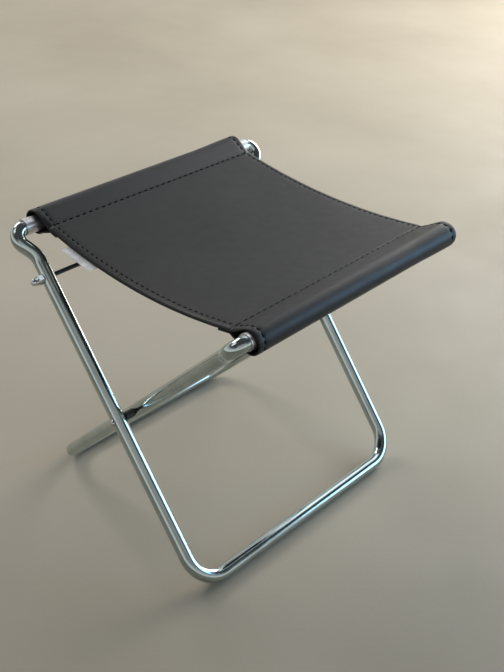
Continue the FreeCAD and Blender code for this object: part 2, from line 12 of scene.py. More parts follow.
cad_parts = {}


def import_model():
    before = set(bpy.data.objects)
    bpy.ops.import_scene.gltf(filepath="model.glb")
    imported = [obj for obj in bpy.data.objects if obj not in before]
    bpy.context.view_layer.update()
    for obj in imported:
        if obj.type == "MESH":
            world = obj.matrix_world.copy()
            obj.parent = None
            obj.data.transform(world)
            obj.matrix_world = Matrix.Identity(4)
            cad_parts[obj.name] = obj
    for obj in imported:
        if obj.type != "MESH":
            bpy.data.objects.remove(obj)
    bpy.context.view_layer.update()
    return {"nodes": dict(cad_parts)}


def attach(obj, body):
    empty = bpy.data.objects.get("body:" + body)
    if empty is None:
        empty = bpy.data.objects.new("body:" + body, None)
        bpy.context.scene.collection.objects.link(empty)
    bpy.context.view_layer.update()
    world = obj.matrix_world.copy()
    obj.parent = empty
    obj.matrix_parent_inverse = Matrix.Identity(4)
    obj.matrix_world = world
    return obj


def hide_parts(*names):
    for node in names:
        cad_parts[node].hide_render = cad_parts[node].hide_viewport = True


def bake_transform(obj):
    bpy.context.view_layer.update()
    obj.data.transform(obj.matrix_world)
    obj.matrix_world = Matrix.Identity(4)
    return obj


LOG = logging.getLogger("stool")
Colour = tuple[float, float, float]
Range = tuple[float, float]

# The part of a noise's range in which most of its values lie.
NOISE_SPAN: Range = (0.3, 0.7)
# A wave texture's period in metres at scale 1.
WAVE_PERIOD = 0.314
# A length in metres under which two places on a block count as one.
NEAR = 0.001


def clamp(value: float) -> float:
    """Keep a share between 0 and 1."""
    return min(max(value, 0.0), 1.0)


def mix(ends: Range, share: float) -> float:
    """Go from the first of two values to the second by a share."""
    return ends[0] + (ends[1] - ends[0]) * share


def smooth_step(low: float, high: float, value: float) -> float:
    """Ease from 0 at low to 1 at high.

    Args:
        low: Where the easing starts.
        high: Where it ends; it may be below low.
        value: The value to ease.

    Returns:
        A number from 0 to 1.
    """
    share = clamp((value - low) / (high - low))
    return share * share * (3.0 - 2.0 * share)


def make_piece(name: str, bm: bmesh.types.BMesh, *materials: bpy.types.Material) -> bpy.types.Object:
    """Turn a finished bmesh into an object at the origin.

    Args:
        name: The piece's name.
        bm: The mesh, which is freed.
        materials: The finishes for its material slots.

    Returns:
        The linked object.
    """
    mesh = bpy.data.meshes.new(name)
    bm.to_mesh(mesh)
    bm.free()
    for material in materials:
        mesh.materials.append(material)
    piece = bpy.data.objects.new(name, mesh)
    bpy.context.scene.collection.objects.link(piece)
    return piece


def crease(bm: bmesh.types.BMesh, angle: float = math.radians(38)) -> None:
    """Shade a mesh smooth, with its edges past an angle left crisp.

    Args:
        bm: The mesh.
        angle: The largest fold that still looks rounded.
    """
    for face in bm.faces:
        face.smooth = True
    for edge in bm.edges:
        edge.smooth = edge.is_manifold and edge.calc_face_angle(0.0) < angle


def runs_along_y(edge: bmesh.types.BMEdge) -> bool:
    """Tell whether an edge of a straight block runs along Y."""
    return abs(edge.verts[0].co.y - edge.verts[1].co.y) > NEAR


def round_edges(bm: bmesh.types.BMesh, edges: list[bmesh.types.BMEdge], radius: float, segments: int) -> None:
    """Round some edges of a block.

    Args:
        bm: The block.
        edges: The edges to round.
        radius: How far the rounding reaches on each side.
        segments: How many faces it is made of.
    """
    bmesh.ops.bevel(bm, geom=edges, offset=radius, offset_type="OFFSET", segments=segments, profile=0.5,
                    affect="EDGES", material=-1)


def set_ramp(ramp: bpy.types.Node, span: Range, shades: tuple[Colour, Colour]) -> None:
    """Set the two stops of a colour ramp.

    Args:
        ramp: The ramp's node.
        span: Where the stops are.
        shades: Their colours.
    """
    for stop, at, shade in zip(ramp.color_ramp.elements, span, shades):
        stop.position = at
        stop.color = (*shade, 1.0)


class NodeBoard:
    """A material's node tree, with short ways to add and join nodes."""

    def __init__(self, name: str) -> None:
        """Start a material with its shader and its object coordinates.

        Args:
            name: The material's name.
        """
        self.material = bpy.data.materials.new(name)
        self.material.use_nodes = True
        self.tree = self.material.node_tree
        self.shader = self.tree.nodes["Principled BSDF"]
        self.place = self.tree.nodes.new("ShaderNodeTexCoord").outputs["Object"]

    def feed(self, socket: bpy.types.NodeSocket, value: object) -> None:
        """Link a socket to another one, or set its number or colour.

        Args:
            socket: The input to feed.
            value: The other socket, or the number or colour.
        """
        if isinstance(value, bpy.types.NodeSocket):
            self.tree.links.new(value, socket)
        else:
            socket.default_value = value

    def add(self, kind: str, sockets: dict[str, object], **settings: object) -> bpy.types.Node:
        """Add a node.

        Args:
            kind: The node's type, without its prefix.
            sockets: What goes into its inputs, by their names.
            settings: Its own options.

        Returns:
            The new node.
        """
        node = self.tree.nodes.new("ShaderNode" + kind)
        for key, value in settings.items():
            setattr(node, key, value)
        for key, value in sockets.items():
            self.feed(node.inputs[key], value)
        return node

    def cloud(self, scale: float, detail: float = 3.0,
              stretch: Colour = (1.0, 1.0, 1.0)) -> bpy.types.NodeSocket:
        """Lay a soft noise over the piece.

        Args:
            scale: Its lumps per metre.
            detail: Its finer octaves.
            stretch: Its scale along each axis.

        Returns:
            Its height socket.
        """
        mapped = self.add("Mapping", {"Vector": self.place, "Scale": stretch}).outputs["Vector"]
        return self.add("TexNoise", {"Vector": mapped, "Scale": scale, "Detail": detail}).outputs["Fac"]

    def spread(self, source: bpy.types.NodeSocket, low: float, high: float,
               span: Range = NOISE_SPAN) -> bpy.types.NodeSocket:
        """Map a noise's usual span to a range.

        Args:
            source: The noise.
            low: The result at the span's start.
            high: The result at its end.
            span: The part of the noise that is used.

        Returns:
            The mapped socket.
        """
        sockets = {"Value": source, "From Min": span[0], "From Max": span[1], "To Min": low, "To Max": high}
        return self.add("MapRange", sockets).outputs["Result"]

    def tint(self, source: bpy.types.NodeSocket, low: Colour, high: Colour,
             span: Range = NOISE_SPAN) -> bpy.types.NodeSocket:
        """Colour a noise from one shade to another.

        Args:
            source: The noise.
            low: The shade at the span's start.
            high: The shade at its end.
            span: The part of the noise that is used.

        Returns:
            The colour socket.
        """
        ramp = self.add("ValToRGB", {"Fac": source})
        set_ramp(ramp, span, (low, high))
        return ramp.outputs["Color"]

    def relief(self, height: bpy.types.NodeSocket, depth: float, strength: float = 1.0,
               over: bpy.types.NodeSocket | None = None) -> bpy.types.NodeSocket:
        """Turn a height into a bump.

        Args:
            height: The height, from 0 to 1.
            depth: Its depth in metres.
            strength: How much of it shows.
            over: A coarser bump that it lies on.

        Returns:
            The normal socket.
        """
        sockets = {"Height": height, "Distance": depth, "Strength": strength}
        if over is not None:
            sockets["Normal"] = over
        return self.add("Bump", sockets).outputs["Normal"]

    def finish(self, sockets: dict[str, object]) -> bpy.types.Material:
        """Feed the shader's sockets and hand over the material.

        Args:
            sockets: What goes into the shader's inputs, by their names.

        Returns:
            The finished material.
        """
        for key, value in sockets.items():
            self.feed(self.shader.inputs[key], value)
        return self.material


@dataclass(frozen=True)
class PlatedFinish:
    """Bright plate on metal, with haze, faint waves and fine marks."""

    name: str
    dull: Colour
    bright: Colour
    roughness: Range
    wave: float = 0.00005

    def make(self) -> bpy.types.Material:
        """Make the material.

        Returns:
            The material with its nodes.
        """
        board = NodeBoard(self.name)
        haze = board.cloud(scale=26.0, detail=5.0)
        marks = board.cloud(scale=420.0, detail=2.0, stretch=(0.12, 1.0, 1.0))
        ripple = board.relief(board.cloud(scale=55.0, detail=1.0), self.wave)
        return board.finish({
            "Base Color": board.tint(haze, self.dull, self.bright),
            "Metallic": 1.0,
            "Roughness": board.spread(haze, *self.roughness),
            "Normal": board.relief(marks, depth=0.000006, strength=0.5, over=ripple),
        })


@dataclass(frozen=True)
class CoatFinish:
    """Black coat or moulded plastic with an uneven surface."""

    name: str
    deep: Colour
    worn: Colour
    roughness: Range
    lumps: float

    def make(self) -> bpy.types.Material:
        """Make the material.

        Returns:
            The material with its nodes.
        """
        board = NodeBoard(self.name)
        wear = board.cloud(scale=60.0, detail=6.0)
        skin = board.cloud(scale=self.lumps, detail=2.0)
        return board.finish({
            "Base Color": board.tint(wear, self.deep, self.worn, span=(0.35, 0.8)),
            "Roughness": board.spread(wear, *self.roughness),
            "Normal": board.relief(skin, depth=0.00008, strength=0.5),
        })


@dataclass(frozen=True)
class LeatherFinish:
    """Dyed leather: pores in fine cells, soft creases and uneven polish."""

    name: str
    deep: Colour
    faded: Colour
    roughness: Range
    pore_pitch: float = 0.0009
    pore_depth: float = 0.00007
    pore_warp: float = 0.0015
    pore_rim: float = 0.18
    crease_depth: float = 0.00012
    shine: float = 0.33

    def make(self) -> bpy.types.Material:
        """Make the material.

        Returns:
            The material with its nodes.
        """
        board = NodeBoard(self.name)
        patches = board.cloud(scale=11.0, detail=5.0)
        creases = board.cloud(scale=30.0, stretch=(1.0, 0.6, 1.0))
        polish = board.cloud(scale=70.0, detail=6.0)
        warped = board.add("TexNoise", {"Vector": board.place, "Scale": 300.0}).outputs["Color"]
        blended = {"Fac": self.pore_warp, "Color1": board.place, "Color2": warped}
        bent = board.add("MixRGB", blended).outputs["Color"]
        cells = board.add("TexVoronoi", {"Vector": bent, "Scale": 1.0 / self.pore_pitch},
                          feature="DISTANCE_TO_EDGE").outputs["Distance"]
        grain = board.spread(cells, low=0.0, high=1.0, span=(0.0, self.pore_rim))
        folds = board.relief(creases, self.crease_depth, strength=0.5)
        return board.finish({
            "Base Color": board.tint(patches, self.deep, self.faded),
            "Roughness": board.spread(polish, *self.roughness),
            "Normal": board.relief(grain, self.pore_depth, strength=0.5, over=folds),
            "Specular IOR Level": self.shine,
        })


@dataclass(frozen=True)
class FleshFinish:
    """The leather's rough inner side, with short raised fibres."""

    name: str
    deep: Colour
    fuzzy: Colour

    def make(self) -> bpy.types.Material:
        """Make the material.

        Returns:
            The material with its nodes.
        """
        board = NodeBoard(self.name)
        fibres = board.cloud(scale=900.0, detail=5.0, stretch=(1.0, 0.35, 1.0))
        return board.finish({
            "Base Color": board.tint(fibres, self.deep, self.fuzzy),
            "Roughness": board.spread(board.cloud(scale=40.0), low=0.82, high=0.95),
            "Normal": board.relief(fibres, depth=0.0003, strength=0.7),
            "Sheen Weight": 0.15,
        })


@dataclass(frozen=True)
class ThreadFinish:
    """Waxed sewing thread with its twist."""

    name: str
    deep: Colour
    waxed: Colour
    twist_pitch: float = 0.0007

    def make(self) -> bpy.types.Material:
        """Make the material.

        Returns:
            The material with its nodes.
        """
        board = NodeBoard(self.name)
        bands = {"Vector": board.place, "Scale": WAVE_PERIOD / self.twist_pitch, "Distortion": 1.0}
        twist = board.add("TexWave", bands, wave_type="BANDS", bands_direction="DIAGONAL").outputs["Fac"]
        return board.finish({
            "Base Color": board.tint(twist, self.deep, self.waxed, span=(0.2, 0.8)),
            "Roughness": board.spread(twist, low=0.6, high=0.8),
            "Normal": board.relief(twist, depth=0.00015, strength=0.6),
            "Specular IOR Level": 0.06,
        })


@dataclass(frozen=True)
class TagFinish:
    """Blank white satin ribbon with its two thread directions."""

    name: str
    shaded: Colour
    bright: Colour
    thread_pitch: float = 0.00045

    def make(self) -> bpy.types.Material:
        """Make the material.

        Returns:
            The material with its nodes.
        """
        board = NodeBoard(self.name)
        bands = {"Vector": board.place, "Scale": WAVE_PERIOD / self.thread_pitch, "Distortion": 0.3}
        warp = board.add("TexWave", bands, bands_direction="X").outputs["Fac"]
        weft = board.add("TexWave", bands, bands_direction="Y").outputs["Fac"]
        under = board.relief(weft, depth=0.00005, strength=0.5)
        return board.finish({
            "Base Color": board.tint(board.cloud(scale=90.0, detail=4.0), self.shaded, self.bright),
            "Roughness": board.spread(weft, low=0.42, high=0.6),
            "Normal": board.relief(warp, depth=0.00008, strength=0.5, over=under),
            "Sheen Weight": 0.2,
        })


@dataclass(frozen=True)
class FloorFinish:
    """Plain pale floor with faint clouding."""

    name: str
    shaded: Colour
    pale: Colour

    def make(self) -> bpy.types.Material:
        """Make the material.

        Returns:
            The material with its nodes.
        """
        board = NodeBoard(self.name)
        clouds = board.cloud(scale=2.2, detail=6.0)
        return board.finish({
            "Base Color": board.tint(clouds, self.shaded, self.pale),
            "Roughness": board.spread(board.cloud(scale=9.0, detail=4.0), low=0.6, high=0.75),
            "Normal": board.relief(board.cloud(scale=160.0, detail=4.0), depth=0.0004, strength=0.4),
        })


class Half(Enum):
    """The sling's two halves, each named for its bar."""

    REAR = "rear"
    FRONT = "front"

    @property
    def side(self) -> int:
        """The half's direction along Y."""
        return 1 if self is Half.REAR else -1

    @property
    def frame_body(self) -> str:
        """The frame whose bar the hem goes round."""
        return "outer_frame" if self is Half.REAR else "inner_frame"

    @property
    def panel_body(self) -> str:
        """The body of the half's flat part."""
        return f"{self.value}_seat_panel"


@dataclass(frozen=True)
class Bend:
    """A stretch of the strip's side view with one curvature."""

    length: float
    turn: float
    steps: int


@dataclass
class SlingHalf:
    """Half of the leather strip, cut flat, then hung from the middle of the seat round its bar."""

    half: Half
    bar_reach: float = 0.189299
    bar_height: float = 0.411066
    half_width: float = 0.1924
    hem_radius: float = 0.0175
    seam_inset: float = 0.030
    seam_rise: float = 0.005
    sag: float = 0.0165
    side_sags: Range = (0.0184, 0.0143)
    rear_lifts: Range = (0.002, 0.002)
    front_lifts: Range = (-0.0022, 0.002)
    wave_height: float = 0.001
    wave_rates: Range = (9.0, 7.0)
    wave_seed: float = 3.7
    rear_stand_off: float = 0.002
    rear_draw_in: float = 0.0025
    front_stand_off: float = 0.0024
    front_flare: float = 0.0105
    loose_from: float = 0.1
    loose_share: float = 0.8
    leather: float = 0.0019
    grain_skin: float = 0.0002
    folded_edge: float = 0.004
    hem_edge: float = 0.0026
    edge_roll: float = 0.0024
    edge_turn: float = 0.012
    edge_fade: float = 0.006
    edge_round: float = 0.46
    lap: float = 0.020
    lap_gap: float = 0.0003
    seam_bend: float = 0.012
    pinch_bend: float = 0.004
    slide: float = 0.014
    blend_run: float = 0.025
    stitch_inset: float = 0.0095
    stitch_share: float = 0.37
    stitch_section: Range = (0.0015, 0.0013)
    stitch_slant: float = 0.1
    stitch_probe: float = 0.0008
    seam_pitch: float = 0.0111
    seam_margin: float = 0.003
    edge_pitch: float = 0.0092
    dimple_reach: float = 0.0016
    dimple_depth: float = 0.0006
    dimple_swing: float = 0.0004
    column_margin: float = 0.016
    columns_per_stitch: int = 4
    relief_half: float = 0.012
    relief_start: float = 0.1823
    relief_reach: float = 0.06
    relief_length: float = 0.054
    relief_corner: float = 0.005
    relief_top: float = 0.004
    leg_angle: float = math.radians(48.2)
    seat_steps: int = 72
    round_steps: int = 40
    run_steps: int = 9
    bend_steps: int = 6
    reach: float = field(init=False)
    route: list[Bend] = field(init=False)
    length: float = field(init=False)
    seam_at: float = field(init=False)
    hem_at: float = field(init=False)
    hem_end: float = field(init=False)
    under_seam_at: float = field(init=False)

    def __post_init__(self) -> None:
        """Lay out the strip's side view from the seat's middle to the lap's end."""
        self.reach = self.bar_reach - self.seam_inset
        sag_radius = (self.reach ** 2 + self.sag ** 2) / (2 * self.sag)
        slope = math.asin(self.reach / sag_radius)
        upper_run, rise_angle = self.tangent(self.seam_rise, -1)
        lower_run, fall_angle = self.tangent(self.seam_rise - 2 * self.leather - self.lap_gap, 1)
        seam_turn = rise_angle - slope
        seam_cut = self.seam_bend * math.tan(seam_turn / 2)
        pinch_turn = fall_angle + slope
        pinch_cut = self.pinch_bend * math.tan(pinch_turn / 2)
        round_bar = math.pi + rise_angle + fall_angle
        seat_run = sag_radius * slope - seam_cut
        self.route = [
            Bend(seat_run, seat_run / sag_radius, self.seat_steps),
            Bend(self.seam_bend * seam_turn, seam_turn, self.bend_steps),
            Bend(upper_run - seam_cut, 0.0, self.run_steps),
            Bend(self.hem_radius * round_bar, -round_bar, self.round_steps),
            Bend(lower_run - pinch_cut, 0.0, self.run_steps),
            Bend(self.pinch_bend * pinch_turn, pinch_turn, self.bend_steps),
            Bend(self.lap - pinch_cut, (pinch_cut - self.lap) / sag_radius, self.run_steps),
        ]
        ends = [sum(bend.length for bend in self.route[:count]) for count in range(len(self.route) + 1)]
        self.seam_at = (ends[1] + ends[2]) / 2
        self.hem_at = ends[3]
        self.hem_end = ends[4]
        self.under_seam_at = (ends[5] + ends[6]) / 2
        self.length = ends[-1]

    @property
    def edge_line(self) -> float:
        """The distance of the edge stitches from the centre line."""
        return self.half_width - self.stitch_inset

    def tangent(self, rise: float, below: int) -> Range:
        """Find the straight run between the hem's round and a point of the seam.

        Args:
            rise: The point's height over the bar's axis.
            below: 1 for the run below the bar, -1 for the one above it.

        Returns:
            The run's length and its angle to the level.
        """
        away = math.hypot(self.seam_inset, rise)
        opening = math.asin(self.hem_radius / away)
        lean = math.atan2(rise, self.seam_inset)
        run = math.sqrt(away ** 2 - self.hem_radius ** 2)
        return run, opening + below * lean

    def stations(self) -> list[float]:
        """List where the flat strip is divided along its length.

        Returns:
            The lengths from the seat's middle, without the strip's two ends.
        """
        found, at = [], 0.0
        for bend in self.route:
            found += [at + bend.length * step / bend.steps for step in range(1, bend.steps + 1)]
            at += bend.length
        return found[:-1]

    def side_view(self, at: float) -> tuple[float, float, float]:
        """Follow the strip's outer face from the middle of the seat.

        Args:
            at: The length along the strip.

        Returns:
            The distance from the middle, the height and the heading there.
        """
        out, up, heading = 0.0, self.bar_height + self.seam_rise - self.sag, 0.0
        for bend in self.route:
            part = min(max(at, 0.0), bend.length)
            turn = bend.turn * part / bend.length
            chord = part * (math.sin(turn / 2) / (turn / 2) if abs(turn) > 1e-9 else 1.0)
            out += chord * math.cos(heading + turn / 2)
            up += chord * math.sin(heading + turn / 2)
            heading += turn
            at -= bend.length
            if at <= 0.0:
                break
        return out, up, heading

    def edge_bulk(self, at: float) -> float:
        """How thick the turned edge is at a length along the strip."""
        return mix((self.folded_edge, self.hem_edge), smooth_step(self.seam_at, self.hem_at, at))

    def dimple(self, across: float, at: float) -> float:
        """How far the stitches draw the grain side in at a place on the strip.

        Args:
            across: The distance from the strip's centre line.
            at: The length along the strip.

        Returns:
            The depth in metres.
        """
        swing = self.dimple_swing * math.cos(2 * math.pi * across / self.seam_pitch)
        depth = 0.0
        for seam in (self.seam_at, self.under_seam_at):
            near = math.exp(-((at - seam) / self.dimple_reach) ** 2)
            depth = max(depth, near * (self.dimple_depth + swing))
        swing = self.dimple_swing * math.cos(2 * math.pi * at / self.edge_pitch)
        near = math.exp(-((abs(across) - self.edge_line) / self.dimple_reach) ** 2)
        return max(depth, near * (self.dimple_depth - swing))

    def loosen(self, across: float, at: float) -> Range:
        """How far the hem's right end stands off its bar, and how far the hem's ends move along X.

        Args:
            across: The distance from the strip's centre line.
            at: The length along the strip.

        Returns:
            How far it stands off, and how far it moves along X.
        """
        share = clamp((at - self.seam_at) / (self.under_seam_at - self.seam_at) / self.loose_share)
        swell = math.sin(math.pi * share) ** 2
        edge = self.half_width
        if self.half is Half.REAR:
            off = self.rear_stand_off
            out = -self.rear_draw_in * smooth_step(-self.edge_line, -edge, across)
        else:
            off = self.front_stand_off
            out = self.front_flare * smooth_step(0.0, edge, across)
        return off * swell * smooth_step(self.loose_from, edge, across), out * swell

    def layered(self, across: float, depth: float, at: float) -> float:
        """Fit a point's depth to the turned edge's bulk there, or to the stitches' dimples.

        Args:
            across: The point's distance from the centre line.
            depth: Its height over the grain side in the flat strip.
            at: Its length along the strip.

        Returns:
            Its height over the grain side in the sewn strip.
        """
        if depth < -self.leather:
            share = (self.edge_bulk(at) - self.leather) / (self.folded_edge - self.leather)
            return -self.leather + (depth + self.leather) * share
        return depth - self.dimple(across, at) if depth > -self.grain_skin else depth

    def uneven(self, across: float, y: float, to_front: float) -> float:
        """How much higher than the even seat a place is: tilted hems, uneven sag and soft waves.

        Args:
            across: The distance from the strip's centre line.
            y: The place along Y.
            to_front: The share of the way from the rear seam to the front one.

        Returns:
            The rise in metres.
        """
        hang = max(1.0 - (y / self.reach) ** 2, 0.0)
        wave = noise.noise(Vector((across * self.wave_rates[0], y * self.wave_rates[1], self.wave_seed)))
        to_right = (across / self.half_width + 1.0) / 2
        lifts = mix(self.rear_lifts, to_right), mix(self.front_lifts, to_right)
        side_sag = mix(self.side_sags, to_right)
        return mix(lifts, to_front) + hang * (self.sag - side_sag + self.wave_height * wave)

    def place(self, across: float, depth: float, at: float) -> Vector:
        """Hang a point of the flat strip.

        Args:
            across: Its distance from the centre line, along X.
            depth: Its height over the grain side, negative inside the leather.
            at: Its length along the strip from the seat's middle.

        Returns:
            Its place on the stool.
        """
        depth = self.layered(across, depth, at)
        from_edge = self.half_width - abs(across)
        lapped = smooth_step(self.hem_end, self.under_seam_at, at)
        spread = smooth_step(self.edge_turn + self.edge_fade, self.edge_turn, from_edge)
        depth += lapped * spread * (self.folded_edge + self.hem_edge - 2 * self.leather)
        stand_off, reach_out = self.loosen(across, at)
        flat_seat = smooth_step(self.hem_at, self.seam_at, at)
        roll = self.edge_roll * max(1.0 - from_edge / self.stitch_inset, 0.0) ** 3
        depth += stand_off + (lapped - flat_seat) * roll
        out, up, heading = self.side_view(at)
        out -= depth * math.sin(heading)
        up += depth * math.cos(heading)
        y = out * self.half.side
        to_front = clamp((self.reach - y) / (2 * self.reach))
        up += self.uneven(across, y, to_front)
        return Vector((across + self.slide * to_front + reach_out, y, up))

    def cut_flat(self) -> bmesh.types.BMesh:
        """Cut the strip flat, with its side edges turned under and rounded.

        Returns:
            The flat strip, with X across, Y along and Z over its grain side.
        """
        bm = bmesh.new()
        wide, band = self.half_width, self.half_width - self.edge_turn
        flesh, fold = -self.leather, -self.folded_edge
        outline = [(-wide, 0.0), (wide, 0.0), (wide, fold), (band, fold),
                   (band, flesh), (-band, flesh), (-band, fold), (-wide, fold)]
        end = bm.faces.new([bm.verts.new((x, 0.0, z)) for x, z in outline])
        swept = bmesh.ops.extrude_face_region(bm, geom=[end])
        far = [item for item in swept["geom"] if isinstance(item, bmesh.types.BMVert)]
        bmesh.ops.translate(bm, verts=far, vec=(0.0, self.length, 0.0))
        corners = [edge for edge in bm.edges
                   if runs_along_y(edge) and all(abs(vert.co.x) > band + NEAR for vert in edge.verts)]
        round_edges(bm, corners, radius=self.folded_edge * self.edge_round, segments=4)
        bmesh.ops.recalc_face_normals(bm, faces=bm.faces[:])
        for face in bm.faces:
            middle = face.calc_center_median()
            face.material_index = int(middle.z < 0.9 * flesh and abs(middle.x) < band)
        return bm

    def divide(self, bm: bmesh.types.BMesh) -> None:
        """Divide the flat strip finely enough to hang and to show its stitches.

        Args:
            bm: The flat strip.
        """
        columns = [side * (self.edge_line + step * self.dimple_reach)
                   for side in (-1, 1) for step in range(-2, 3)]
        spacing = self.seam_pitch / self.columns_per_stitch
        count = int((self.half_width - self.column_margin) / spacing)
        columns += [step * spacing for step in range(-count, count + 1)]
        cuts = [(Vector((x, 0.0, 0.0)), Vector((1.0, 0.0, 0.0))) for x in columns]
        cuts += [(Vector((0.0, y, 0.0)), Vector((0.0, 1.0, 0.0))) for y in self.stations()]
        for point, normal in cuts:
            geom = bm.verts[:] + bm.edges[:] + bm.faces[:]
            bmesh.ops.bisect_plane(bm, geom=geom, dist=1e-7, plane_co=point, plane_no=normal)

    def cut_relief(self, piece: bpy.types.Object) -> None:
        """Notch the hem's lower wall where the leg's neck comes up through it.

        Args:
            piece: The hung front half.
        """
        bm = bmesh.new()
        size = (self.relief_reach, self.relief_length, 2 * self.relief_half)
        bmesh.ops.create_cube(bm, size=1.0, matrix=Matrix.Diagonal((*size, 1.0)))
        shift = (self.relief_reach / 2 + self.relief_start, self.relief_length / 2, 0.0)
        bmesh.ops.translate(bm, verts=bm.verts[:], vec=shift)
        inner = [edge for edge in bm.edges
                 if runs_along_y(edge) and edge.verts[0].co.x < self.relief_start + NEAR]
        round_edges(bm, inner, radius=self.relief_corner, segments=5)
        to_bar = Matrix.Translation((0.0, -self.bar_reach, self.bar_height))
        lean = Matrix.Rotation(-self.leg_angle, 4, "X")
        bmesh.ops.transform(bm, matrix=to_bar @ lean, verts=bm.verts[:])
        knife = make_piece("relief_knife", bm)
        cut = piece.modifiers.new("relief", "BOOLEAN")
        cut.object, cut.operation, cut.solver = knife, "DIFFERENCE", "EXACT"
        shown = piece.evaluated_get(bpy.context.evaluated_depsgraph_get())
        whole = piece.data
        piece.data = bpy.data.meshes.new_from_object(shown)
        piece.modifiers.remove(cut)
        bpy.data.meshes.remove(whole)
        bpy.data.objects.remove(knife)

    def build(self, grain: bpy.types.Material, flesh: bpy.types.Material) -> bpy.types.Object:
        """Hang the leather.

        Args:
            grain: The finish of its outer side.
            flesh: The finish of its inner side.

        Returns:
            The leather piece.
        """
        bm = self.cut_flat()
        self.divide(bm)
        for vert in bm.verts:
            vert.co = self.place(vert.co.x, vert.co.z, vert.co.y)
        bmesh.ops.recalc_face_normals(bm, faces=bm.faces[:])
        piece = make_piece(f"{self.half.value}_sling", bm, grain, flesh)
        if self.half is Half.FRONT:
            self.cut_relief(piece)
        bm = bmesh.new()
        bm.from_mesh(piece.data)
        crease(bm)
        bm.to_mesh(piece.data)
        bm.free()
        return piece

    def stitch(self, bm: bmesh.types.BMesh, across: float, depth: float, at: float, along: bool) -> None:
        """Add one stitch.

        Args:
            bm: The stitching's mesh.
            across: The stitch's distance from the centre line.
            depth: The side it shows on, as for a point of the strip.
            at: Its length along the strip.
            along: Whether it runs along the strip, or else across it.
        """
        steps = (-self.stitch_probe, self.stitch_probe)
        middle = self.place(across, depth, at)
        before, after = (self.place(across, depth, at + step) for step in steps)
        left, right = (self.place(across + step, depth, at) for step in steps)
        lengthwise, crosswise = (after - before).normalized(), (right - left).normalized()
        run, pitch = (lengthwise, self.edge_pitch) if along else (crosswise, self.seam_pitch)
        lift = lengthwise.cross(crosswise).normalized()
        run = (run + self.stitch_slant * lift.cross(run)).normalized()
        turn = Matrix((run, lift.cross(run), lift)).transposed().to_4x4()
        size = Matrix.Diagonal((pitch * self.stitch_share, *self.stitch_section, 1.0))
        bmesh.ops.create_uvsphere(bm, u_segments=7, v_segments=5, radius=1.0,
                                  matrix=Matrix.Translation(middle) @ turn @ size)

    def notched(self, across: float, at: float) -> bool:
        """Tell whether a place on the hem is cut away by the leg's notch.

        Args:
            across: The distance from the strip's centre line.
            at: The length along the strip.

        Returns:
            Whether no leather is left there.
        """
        if self.half is Half.REAR or across < 0.0 or not self.hem_at < at < self.under_seam_at:
            return False
        return self.place(across, 0.0, at).z < self.bar_height + self.relief_top

    def sew(self, thread: bpy.types.Material) -> bpy.types.Object:
        """Sew the seams across the strip, above and below, and the two turned edges.

        Args:
            thread: The thread's finish.

        Returns:
            The stitching.
        """
        bm = bmesh.new()
        count = int((self.edge_line - self.seam_margin) / self.seam_pitch)
        for index in range(-count, count + 1):
            across = index * self.seam_pitch
            for seam in (self.seam_at, self.under_seam_at):
                self.stitch(bm, across, 0.0, seam, along=False)
        for across in (-self.edge_line, self.edge_line):
            for index in range(int(self.length / self.edge_pitch)):
                at = (index + 0.5) * self.edge_pitch
                if not self.notched(across, at):
                    self.stitch(bm, across, 0.0, at, along=True)
                if at < self.reach - self.lap:
                    self.stitch(bm, across, -self.folded_edge, at, along=True)
        bmesh.ops.recalc_face_normals(bm, faces=bm.faces[:])
        crease(bm, math.radians(80))
        return make_piece(f"{self.half.value}_stitching", bm, thread)

    def dress(self, grain: bpy.types.Material, flesh: bpy.types.Material,
              thread: bpy.types.Material) -> bpy.types.Object:
        """Args:
            grain: The finish of the leather's outer side.
            flesh: The finish of its inner side.
            thread: The thread's finish.

        Returns:
            The leather piece.
        """
        leather, stitching = self.build(grain, flesh), self.sew(thread)
        for piece in (leather, stitching):
            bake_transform(piece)
            LOG.info("%s: %d faces", piece.name, len(piece.data.polygons))
        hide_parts(f"{self.half.value}_hem", f"{self.half.value}_seat_panel")
        return leather


@dataclass
class SewnTag:
    """The blank white ribbon that is caught under the sling's left edge."""

    length: float = 0.055
    width: float = 0.024
    overhang: float = 0.0095
    thickness: float = 0.0005
    middle: float = 0.097
    skew: float = 0.004
    gap: float = 0.0006
    droop: float = 12.0
    slow_curl: Range = (0.0005, 9.0)
    quick_curl: Range = (0.0004, 21.0)
    curl_run: float = 0.006

    def dress(self, sling: SlingHalf, leather: bpy.types.Object, cloth: bpy.types.Material) -> None:
        """Args:
            sling: The rear half, which carries it.
            leather: That half's leather; not used.
            cloth: The ribbon's finish.
        """
        (slow, slow_rate), (quick, quick_rate) = self.slow_curl, self.quick_curl
        bm = bmesh.new()
        bmesh.ops.create_grid(bm, x_segments=12, y_segments=26, size=0.5)
        for vert in bm.verts:
            inward = (vert.co.x + 0.5) * self.width - self.overhang
            at = self.middle + vert.co.y * self.length - self.skew * (vert.co.x + 0.5)
            under = sling.place(max(inward, 0.0) - sling.half_width, -sling.folded_edge, at)
            free = max(-inward, 0.0)
            curl = slow * math.sin(vert.co.y * slow_rate) + quick * math.cos(vert.co.y * quick_rate)
            under.x += min(inward, 0.0)
            under.z += -self.gap - self.droop * free ** 2 + curl * smooth_step(0.0, self.curl_run, free)
            vert.co = under
        bmesh.ops.recalc_face_normals(bm, faces=bm.faces[:])
        bmesh.ops.solidify(bm, geom=bm.faces[:], thickness=self.thickness)
        crease(bm)
        tag = make_piece("side_tag", bm, cloth)
        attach(tag, "rear_seat_panel")
        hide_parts("care_label")
        LOG.info("%s: %d faces", tag.name, len(tag.data.polygons))


